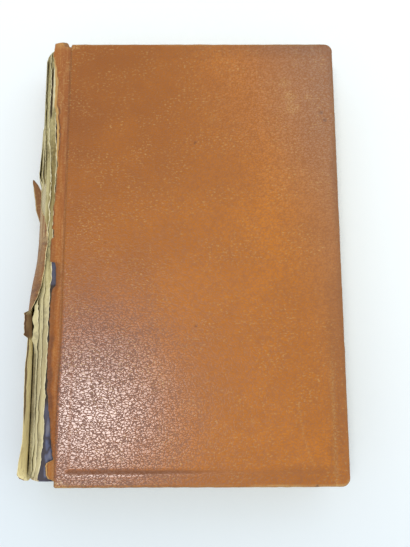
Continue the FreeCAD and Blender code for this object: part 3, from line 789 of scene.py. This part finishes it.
def front_hinge_paper():
    """Blue-grey paper from under the front pastedown over the shoulder, crumpled at the tail."""
    y = np.arange(-PAPER_HALF, PAPER_HALF + 0.2, 0.7)
    left = read(HINGE_PAPER_EDGE, y) + 0.3 * rough(y, 3, 5, 301)
    x, yy = strip(y, left, PAPER_RIGHT, np.linspace(0, 1, 32))
    yy = yy + 0.5 * rough(x, 0, 3, 302) * ramp(112, PAPER_HALF, np.abs(y))[:, None]
    bare = ramp(0.2, -0.6, x - (read(TORN_EDGE, y, 0, 1) - FRONT_GROOVE)[:, None])
    crumple = np.abs(rough(x * 1.4, yy, 7, 303, 3)) * ramp(-76, -90, yy) * bare
    crumple = crumple * ramp(-6.8, -5.4, x)
    height = np.interp(x, *LEAF_PATH) + PAPER_LIFT + 1.3 * crumple * ramp(0.5, -1.0, x)
    grids = over_front(x, yy, height, height - PAPER_THICKNESS)
    # painted highlight on the crumples' crests, carried by the torn attribute
    torn = 0.15 * ramp(0.3, 0.6, crumple)
    # painted shadow in the crumples' hollows, under the tab, and in the gap between the lining and the
    # joint leather
    soil = 0.75 * ramp(0.35, 0.05, crumple) * ramp(-74, -92, yy)
    below_tab = ramp(-16, -18, yy) * ramp(-84, -76, yy)
    soil = most(soil, below_tab, ramp(-3, -1, yy))
    soil = most(soil, (0.35 + 0.3 * rough(x * 2, yy, 6, 306)) * ramp(-76, -18, yy))
    made = thick_sheet("front_hinge_paper", *grids, {"torn": (torn, 0), "soil": (soil, 0)})
    return dress(made, ENDPAPER)


def back_hinge_paper():
    """Paper from the back pastedown over the shoulder to the flyleaf's fold."""
    y = np.linspace(-PAPER_HALF, PAPER_HALF, 160)
    x, yy = np.meshgrid(np.linspace(-8.3, PAPER_RIGHT, 28), y)
    height = np.interp(x, *LEAF_PATH) + PAPER_LIFT
    grids = under_back(x, yy, height, height - PAPER_THICKNESS)
    return dress(thick_sheet("back_hinge_paper", *grids, {}, flip=True), ENDPAPER)


front_joint, front_paper = front_joint_leather(), front_hinge_paper()
back_joint, back_paper = back_joint_leather(), back_hinge_paper()
for piece in (front_skin, front_joint):
    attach(piece, "front_cover")
    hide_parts("front_cover_leather")
for piece in (back_skin, back_joint):
    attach(piece, "back_cover")
    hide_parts("back_cover_leather")


def fold_with_cover(piece):
    """Bakes the paper's placing into its points; the paper is not attached to its cover."""
    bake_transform(piece)


fold_with_cover(front_paper)
fold_with_cover(back_paper)


# Spine: layers of lining and torn leather over the backs of the gatherings. An arc is the
# distance past the front ridge, an inset the distance in from a torn edge.

RIDGE_RISE = 1.2  # height of the shoulder's ridge over the page surface
SPINE_ROUND = 4.4  # bulge of the spine beyond a line from ridge to ridge
SECTION_SWELL = 0.25
LEATHER_ROOT = 0.94  # the leather rises from here, as a share of the spine's arc


def spine_circle():
    """Centre, radius and ridge angles of the backs of the pages, in the section plane."""
    back_leaf = box("back_flyleaf")
    front = np.array([RIDGE_X, FRONT_LEAF[0][2] + RIDGE_RISE])
    back = np.array([back_leaf[0][0], back_leaf[1][2] - RIDGE_RISE])
    chord = front - back
    half = np.hypot(*chord) / 2
    radius = (half ** 2 + SPINE_ROUND ** 2) / (2 * SPINE_ROUND)
    inward = np.array([chord[1], -chord[0]]) / (2 * half)
    centre = (front + back) / 2 + inward * (radius - SPINE_ROUND)
    angles = [math.atan2(z - centre[1], x - centre[0]) % (2 * math.pi) for x, z in (front, back)]
    return centre, radius + SECTION_SWELL, angles


CENTRE, SPINE_RADIUS, (FRONT_ANGLE, BACK_ANGLE) = spine_circle()
SPINE_LENGTH = SPINE_RADIUS * (BACK_ANGLE - FRONT_ANGLE)


def wrap_path():
    """Path over the shoulder and round the spine: arc, x, z and normals."""
    x = np.arange(FRONT_GROOVE - 1, RIDGE_X, -0.1)
    shoulder = np.stack([x, FRONT_PAPER[0][2] + np.interp(x - FRONT_GROOVE, *LEAF_PATH)], -1)
    angle = np.linspace(FRONT_ANGLE, BACK_ANGLE, 340)
    spine = CENTRE + SPINE_RADIUS * np.stack([np.cos(angle), np.sin(angle)], -1)
    points = np.concatenate([shoulder, spine])
    path_x, path_z = (eased(column, np.arange(-20, 21), 5) for column in points.T)
    step = np.hypot(np.gradient(path_x), np.gradient(path_z))
    arc = np.cumsum(step)
    along_x, along_z = np.gradient(path_x) / step, np.gradient(path_z) / step
    return arc - arc[len(x)], path_x, path_z, along_z, -along_x


WRAP = wrap_path()


def wrap(arc, lift):
    """x and z at an arc, lifted off the pages' backs."""
    x, z, normal_x, normal_z = (np.interp(arc, WRAP[0], column) for column in WRAP[1:])
    return x + normal_x * lift, z + normal_z * lift


def spine_grid(front, back, lift, thickness, ends, seed, ragged, columns=44, step=0.6):
    """Outer and inner grid of a torn sheet round the spine, with the inset, arc and y of each
    place. front holds the torn edge's arc by y; lift and thickness are functions."""
    tail, head = ends
    rows = int((head - tail) / step) + 1
    share = np.linspace(0, 1, columns)[None, :]
    t = np.linspace(0, 1, rows)[:, None]
    middle = tail + t * (head - tail)
    edge = read(front, middle[:, 0])[:, None]
    edge = edge + ragged * rough(middle, seed, 5.0, seed)
    edge = edge + 0.35 * ragged * rough(middle, 0, 1.5, seed + 1, 2)
    arc = edge + (back - edge) * share ** 1.5
    low = tail + 1.6 * ragged * rough(arc, 0, 4, seed + 2)
    high = head + 1.6 * ragged * rough(arc, 9, 4, seed + 3)
    y = low + t * (high - low)
    under = lift(arc - edge, arc, y)
    grids = []
    for height in (under + thickness(arc - edge, y), under):
        x, z = wrap(arc, height)
        grids.append(np.stack([x, y, z], -1))
    return grids, arc - edge, arc, y


GAP_PLACE, GAP_WIDTH = 1.8, 0.95  # arcs of the gap beside the joint leather
GAP_SHADE = 0.95  # painted shadow: the lining is nearly black in the gap
LIP_SHADE = 0.73  # and dark with painted shadow under the spine leather's lip
# Dark patches on the lining, near the tail partly painted shadow beside the leather's lip: arc, y, half
# width, half height, strength
DARK_PATCHES = [
    (3.2, -49, 0.9, 5.5, 0.5), (4.6, -72.5, 0.5, 3.5, 0.9), (4.7, -84, 0.5, 4, 0.9),
    (2.2, -34, 0.5, 5, 0.7), (1.4, -43, 0.5, 3, 0.6), (3, 60, 0.7, 6, 0.6),
    (4.6, 68, 0.6, 7, 0.7),
]


def lining_soil_and_shade(inset, arc, y, seed):
    """Grime and painted shade on the lining: grimy streaks, painted shadow in the gap and under the lip,
    and darker patches.
    """
    streaks = 0.55 * ramp(0.1, 0.6, rough(arc * 3, y, 11, seed + 5))
    # painted shadow in the gap beside the joint leather
    gap = np.exp(-((arc - GAP_PLACE + 0.3 * rough(y, 0, 9, 510)) / GAP_WIDTH) ** 2)
    gap = gap * ramp(72, 82, y) * (0.45 + 0.55 * ramp(110, 102, y))
    gap = np.minimum(1.4 * gap, GAP_SHADE) * ramp(0.3, 0.6, inset)
    soil = most(streaks * ramp(0.6, 1.4, inset), gap)
    # painted shadow under the spine leather's lip
    shade_under_lip = ramp(4.6, 6.4, arc + 0.8 * rough(y, 0, 8, 511)) * ramp(-42, -54, y)
    shade_under_lip = shade_under_lip * (LIP_SHADE + 0.07 * rough(arc, y, 6, 512))
    soil = most(soil, shade_under_lip, 0.3 * ramp(20, 60, y))
    for place, middle, width, height, strength in DARK_PATCHES:
        reach = np.hypot((arc - place) / width, (y - middle) / height)
        reach = reach + 0.4 * rough(arc * 2, y, 4, seed + 6)
        soil = most(soil, strength * (1 - ramp(0.5, 1.2, reach)))
    return soil


def lining_sheet(name, front, back, lift, thickness, ends, seed, *layout):
    """Torn sheet of lining paper: pale and fibrous along its torn edge."""
    grids, inset, arc, y = spine_grid(
        front, back, lift, lambda inset, y: thickness, ends, seed, *layout)
    soil = lining_soil_and_shade(inset, arc, y, seed)
    torn = 1 - ramp(0.1, 0.55, inset + 0.3 * noise(y, arc, 1.1, seed + 4))
    beside_gap = np.exp(-((arc - 0.35 + 0.2 * rough(y, 0, 7, 513)) / 0.4) ** 2)
    torn = most(torn, 1.1 * beside_gap * ramp(80, 86, y) * ramp(110, 104, y))
    torn = most(torn, 0.3 * ramp(-14, -30, y)) * (1 - ramp(0.5, 0.9, soil))
    made = thick_sheet(name, *grids, {"torn": (np.clip(torn, 0, 1), 0.2), "soil": (soil, 0.4)})
    return dress(made, LINING)


# Front edges of the lining sheets, head to tail: y and arc
INNER_LINING = [
    (118, 1.4), (113, 0.2), (108, -0.4), (98, -0.7), (86, -0.9), (74, -1.7), (60, -2.7), (44, -3.2),
    (28, -3.0), (15, -2.6), (0, -2.6), (-14.5, -2.6), (-17, -2.2), (-49, -2.0),
    (-77, -1.7), (-97, -1.9), (-108, -1.1), (-115, 0.6),
]
OUTER_LINING = [
    (118, 2.2), (110, 2.4), (95, 2.3), (80, 2.3), (66, 1.6), (52, 0.2), (40, -0.6), (20, -0.4),
    (-10, 0.4), (-25, 0.6), (-50, 0.5), (-77, 0.9), (-97, 0.8), (-108, 1.6), (-115, 2.8),
]
TOP_LINING = [
    (118, 7.0), (95, 6.4), (70, 5.6), (50, 3.6), (20, 3.4), (-14, 3.8), (-30, 4.0), (-50, 3.4),
    (-77, 3.6), (-97, 3.0), (-112, 4.2),
]


def pressed(arc, y):
    """The linings lie thin where the spine leather still sticks to them: 1, less under it."""
    middle = ramp(2.0, 5.0, arc) * ramp(-16, -4, y) * ramp(45, 39, y)
    return 1 - 0.6 * most(middle, ramp(11, 14, arc) * ramp(24, 30, y))


def inner_lift(inset, arc, y):
    """Height of a sheet's underside over the pages' backs, like the next two."""
    curl = 0.25 * np.exp(-inset / 0.8) * (0.5 + 0.5 * rough(y, 1, 9, 401))
    return (0.16 + 0.52 * ramp(0.4, 2.8, arc) + curl) * pressed(arc, y)


def outer_lift(inset, arc, y):
    curl = (0.5 + 0.5 * rough(y, 2, 14, 402)) * np.exp(-inset / 1.3)
    lift = 0.44 + 0.48 * ramp(0.8, 3.0, arc) + most(curl, 0) * ramp(-3, 0.5, arc)
    return lift * pressed(arc, y)


def top_lift(inset, arc, y):
    free = ramp(38, 50, y) + ramp(-14, -30, y)
    curl = (0.6 + 0.6 * rough(y, 3, 18, 403)) * np.exp(-inset / 2.2)
    flap = 2.6 * np.exp(-((arc - 6.3 + 0.06 * (y + 38)) / 1.3) ** 2)
    flap = flap * ramp(-56, -46, y) * ramp(-22, -30, y)
    flap = flap * (0.8 + 0.5 * rough(arc, y, 7, 404))
    return (1.14 + most(curl, 0) * free) * pressed(arc, y) + flap


LINING_END, TOP_END = 0.95 * SPINE_LENGTH, 0.8 * SPINE_LENGTH
# Torn sheets: name, front edge, back edge, lift, thickness, tail and head, seed, raggedness
lining = [lining_sheet(*sheet) for sheet in (
    ("spine_lining_inner", INNER_LINING, LINING_END, inner_lift, 0.2, (-115.6, 117.4), 501, 0.5),
    ("spine_lining_outer", OUTER_LINING, LINING_END, outer_lift, 0.18, (-114.8, 116.6), 521, 0.5),
    ("spine_lining_top", TOP_LINING, TOP_END, top_lift, 0.12, (-113.6, 114.5), 541, 0.8),
)]

# Bow of the loose sheets at the head side of the tongue: y and share of their reach
LOOSE_BOW = [(74, 0), (68, 0.15), (60, 0.5), (52, 0.85), (46.5, 1.0), (43.5, 0.8), (41, 0.25), (38, 0)]


def loose_sheet(name, reach, edge, seed):
    """Loose sheet that bows out from the spine between two places where it still holds."""
    front = [(74, edge + 1.5), (60, edge + 0.5), (48, edge), (42, edge + 0.6), (37, edge + 2.0)]

    def lift(inset, arc, y):
        held = 1.3 - 0.75 * ramp(46, 38, y)
        return held + reach * read(LOOSE_BOW, y) * np.exp(-inset / 7.0)

    return lining_sheet(name, front, edge + 9, lift, 0.25, (37.5, 74), seed, 0.5, 24, 0.5)


lining.append(loose_sheet("spine_lining_loose_1", reach=1.9, edge=8.0, seed=561))
lining.append(loose_sheet("spine_lining_loose_2", reach=0.9, edge=5.6, seed=581))
for piece in lining:
    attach(piece, "pages")
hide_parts("spine_lining")

# Spine leather, tail to head: y, arc of its torn edge, how far it bows off the spine's crown,
# and how far its torn edge curls outwards
LEATHER_STATIONS = [
    (-118.4, 16.5, 0.6, 3), (-117.4, 12.5, 0.6, 4.4), (-115, 10.6, 0.6, 5), (-108, 9.8, 0.6, 4.9),
    (-103, 10, 0.5, 4.2), (-99, 10.8, 0.4, 3.5), (-80, 11, 0.4, 3.5), (-62, 10.8, 0.5, 3.7),
    (-50, 10.8, 0.6, 3), (-44.6, 10.4, 0.9, 2.6), (-43.4, 9.2, 1.2, 4.8), (-38, 8.4, 1.6, 5),
    (-31.6, 8.2, 2.2, 4.4), (-30, 6.8, 2.9, 1.2), (-23, 3.4, 2.4, 0.3), (-17.5, 1.4, 1.8, 0.1),
    (-9.6, 0.8, 0.9, 0), (-1.7, 0.4, 0.2, 0), (8, -0.2, 0, 0), (15, 1, 0, 0),
    (20, 3.2, 0, 0), (25, 8.5, 0, 0), (31, 14.5, 0, 0), (118.2, 16, 0, 0),
]
# Height of the leather's underside over the pages' backs and its thickness, by y
LEATHER_UNDER = [(-118, 1.4), (-16, 1.35), (-5, 0.95), (5, 0.78), (24, 0.72), (118, 0.76)]
LEATHER_THICK = [(-118, 0.9), (-15, 0.8), (5, 0.5), (12, 0.4), (118, 0.45)]
CURL_WIDTH = 2.8  # the torn lip bends outwards over this width


def spine_leather():
    """Torn spine leather: stuck to the spine near the middle, sprung outwards at the tail."""
    ys, edges, bows, curls = np.array(LEATHER_STATIONS).T

    def lift(inset, arc, y):
        bow = np.interp(y, ys, bows) * np.sin(np.pi * np.clip((root - arc) / (root + 2), 0, 1))
        width = CURL_WIDTH * (1 + 0.35 * ramp(-98, -106, y))
        curl = np.interp(y, ys, curls) * np.clip(1 - inset / width, 0, 1) ** 1.25
        curl = curl * (1 + 0.12 * rough(y, 5, 2.2, 609, 2) * ramp(-48, -43, y))
        past = ramp(-1.8, 0.8, arc)
        low = read(LEATHER_UNDER, y) * past + 0.5 * (1 - past)
        return low + bow + curl * (1 + 0.08 * rough(y, 3, 12, 603))

    def thickness(inset, y):
        return 0.25 + (read(LEATHER_THICK, y) - 0.25) * ramp(0.1, 1.4, inset)

    root = LEATHER_ROOT * SPINE_LENGTH
    front = list(zip(ys, edges))
    grids, inset, arc, y = spine_grid(
        front, root, lift, thickness, (-118.4, 118.2), 601, 0.35, 46, 0.55)
    y += 2.2 * np.clip(1 - inset / 2.6, 0, 1) ** 2 * ramp(-113, -118.4, y)
    for grid in grids:
        grid[..., 1] = y
    lip = most(0.6 * (1 + 0.8 * rough(y, 4, 4, 604)), 0.12) * (1 - 0.8 * ramp(-30, -22, y))
    bare = 1 - ramp(0.8, 1.2, inset / lip)
    cracks = 0.5 * ramp(0.25, 0.7, rough(y * 2.5, inset * 0.6, 7, 606))
    peeled = ramp(-10, 12, y) * ramp(0.0, 0.6, rough(arc * 9, y, 16, 608))
    peeled = peeled * (0.2 + 0.2 * ramp(6, 3, arc))
    inner_dark = 0.12 * ramp(0.2, 0.8, rough(inset * 6, y, 24, 607))
    tab_stain = 0.8 * ramp(-46, -43, y) * ramp(-30, -33, y)
    # dark brown along the lip's torn edge: the grain layer's own colour, with painted shade of the edge
    brown_edge = 0.85 * (1 - ramp(0.35, 0.8, inset + 0.2 * rough(y, 6, 5, 610))) * ramp(-92, -84, y)
    tab = ramp(-45.5, -43.5, y) * ramp(-29, -31, y)
    brown_tab = tab * (0.3 + 0.5 * ramp(-37, -44, y) * ramp(2.0, 0.6, inset))
    inner_dark = most(inner_dark, brown_edge, brown_tab)
    attributes = {
        "flesh": (most(bare, peeled), 1 - tab_stain), "dark": (cracks * (1 - peeled), inner_dark),
        "wear": (0.25 * bare, 0), "tooled": (0.3, 1.0),
    }
    made = thick_sheet("spine_leather_torn", *grids, attributes)
    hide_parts("spine_leather")
    return dress(made, SPINE_HIDE)


# Peeled tongue of leather on the crown: y, and its inner and outer edge out from the crown
TONGUE = [
    (18, -1.4, -0.6), (21, -1.7, 0.2), (24, -1.7, 1.3), (28.8, -1.6, 3), (34.7, -1.1, 3.7),
    (38, -0.6, 4.3), (41, 0.7, 4.9), (44, 2.4, 5.4), (46.4, 4.4, 5.8), (47.2, 5.2, 5.6),
]
TONGUE_DROOP = 10.0  # degrees
TONGUE_LIFT = 1.2  # from the backs of the pages to the place its edges are counted from


def peeled_tongue():
    """Strip of leather that has come off the crown and stands out sideways."""
    y, inner, outer = np.array(TONGUE).T
    rows = np.linspace(y[0], y[-1], 70)
    crown = CENTRE[0] - SPINE_RADIUS - TONGUE_LIFT
    left = np.interp(rows, y, outer) + 0.12 * rough(rows, 0, 2.5, 621)
    right = np.interp(rows, y, inner) + 0.12 * rough(rows, 7, 2.5, 622)
    share = np.linspace(0, 1, 16)
    out, yy = strip(rows, right, left, share)
    curl = 0.55 * (2 * share - 1) ** 2 + 0.12 * rough(out * 2, yy, 5, 623, 3)
    z = CENTRE[1] + 1.6 - out * math.tan(math.radians(TONGUE_DROOP)) + curl
    thickness = 0.35 + 0.5 * ramp(0, 0.25, np.minimum(share, 1 - share))
    grids = [np.stack([crown - out, yy, z - drop], -1) for drop in (0 * z, thickness)]
    edge = ramp(0.12, 0.04, np.minimum(share, 1 - share)) * ramp(47, 40, yy)
    # painted shadow on the tongue's inner half
    dark = 0.5 * ramp(0.35, 0.1, share) * (1 - edge)
    attributes = {"flesh": (0.4 * edge, 0.6), "dark": (dark, 0), "tooled": (0.6, 1.0)}
    made = thick_sheet("peeled_leather_tongue", *grids, attributes, flip=True)
    return dress(made, SPINE_HIDE)


for piece in (spine_leather(), peeled_tongue()):
    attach(piece, "pages")


# Camera, floor and light

CAMERA_PLACE = (5.2, -75.4, 372.3)  # millimetres, worked out from the cover's perspective
CAMERA_TURN = (10.7, -0.32, -0.21)  # degrees about X, Y and Z
FOCAL_PIXELS = 650.0  # focal length in pixels of the photograph's long side
LONG_SIDE = 547.0
SENSOR = 36.0
# The floor and the lamps are placed in metres
FLOOR_HALF = 3.0
FLOOR_DROP = 0.0002
SKY_COLOUR, SKY_STRENGTH = (0.97, 0.985, 1.0, 1.0), 0.9
# Lamps: name, place, place aimed at, diameter, power, colour
LAMPS = [
    ("ceiling", (-0.293, -0.121, 1.5), (-0.05, -0.084, 0.036), 0.25, 4.0, (1, 1, 1)),
    ("ceiling glow", (-0.32, -0.12, 1.56), (-0.05, -0.084, 0.036), 0.5, 1.6, (0.9, 0.95, 1.0)),
    ("window", (0.4, 0.95, 1.6), (0.0, 0.0, 0.0), 0.7, 1.4, (0.85, 0.92, 1.0)),
]


def make_camera():
    """Camera of the photo's perspective."""
    data = bpy.data.cameras.new("camera")
    data.sensor_width = SENSOR
    data.lens = FOCAL_PIXELS / LONG_SIDE * SENSOR
    data.clip_start = 0.01
    made = add("camera", data)
    made.location = [v * MM for v in CAMERA_PLACE]
    made.rotation_euler = [math.radians(a) for a in CAMERA_TURN]
    bpy.context.scene.camera = made


def make_floor():
    """White table under the book, with painted shade that greys it towards the tail and the spine's
    side.
    """
    corners = [(x * FLOOR_HALF, y * FLOOR_HALF, 0) for x, y in ((-1, -1), (1, -1), (1, 1), (-1, 1))]
    mesh = bpy.data.meshes.new("floor")
    mesh.from_pydata(corners, [], [(0, 1, 2, 3)])
    made = add("floor", mesh)
    made.location.z = -FLOOR_DROP
    s = Shader("floor", srgb(222, 231, 236))
    split = s.node("SeparateXYZ", {0: s.place})
    # painted shade: darker towards the tail and the spine's side
    slope = s.plus(split.outputs["Y"], s.times(split.outputs["X"], 0.7))
    s.tint(s.ramp(slope, -230.0, 170.0), srgb(247, 252, 252))
    made.data.materials.append(s.surface(0.9, Specular_IOR_Level=0.1))


def area_light(name, place, target, size, power, colour):
    """Round lamp that is aimed at the target."""
    data = bpy.data.lights.new(name, "AREA")
    data.shape, data.size, data.energy, data.color = "DISK", size, power, colour
    made = add(name, data)
    made.location = place
    aim = np.array(target) - np.array(place)
    made.rotation_euler = Vector(aim).to_track_quat("-Z", "Y").to_euler()


make_camera()
make_floor()
world = bpy.data.worlds.new("world")
bpy.context.scene.world = world
world.use_nodes = True
background = world.node_tree.nodes["Background"]
background.inputs["Color"].default_value = SKY_COLOUR
background.inputs["Strength"].default_value = SKY_STRENGTH
for lamp in LAMPS:
    area_light(*lamp)

view = bpy.context.scene.view_settings
view.view_transform = "Standard"
